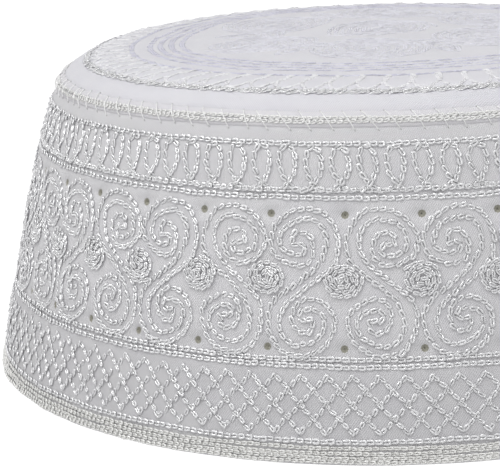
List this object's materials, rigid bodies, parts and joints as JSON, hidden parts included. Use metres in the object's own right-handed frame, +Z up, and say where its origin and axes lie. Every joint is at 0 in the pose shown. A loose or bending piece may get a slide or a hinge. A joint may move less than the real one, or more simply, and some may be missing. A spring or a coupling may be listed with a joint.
{
  "type": "kufi",
  "caption": "Round brimless cotton cap with a tapered side, two rows of eyelets, a low domed crown and a whipped ridge between them.",
  "frame": {"origin": "centre of the rim, on the surface that the cap stands on", "axes": "+Z up along the cap's axis; the cap is round, and -Y is the side that the picture shows"},
  "size_m": [0.1838, 0.1838, 0.0754],
  "materials": {
    "cotton_cloth": "matt white plain-weave cotton, quilted in two layers",
    "embroidery_thread": "glossy white viscose chain stitch"
  },
  "bodies": {
    "root": {"side_band": "cotton_cloth", "crown": "cotton_cloth", "crown_seam": "embroidery_thread"}
  },
  "joints": []
}
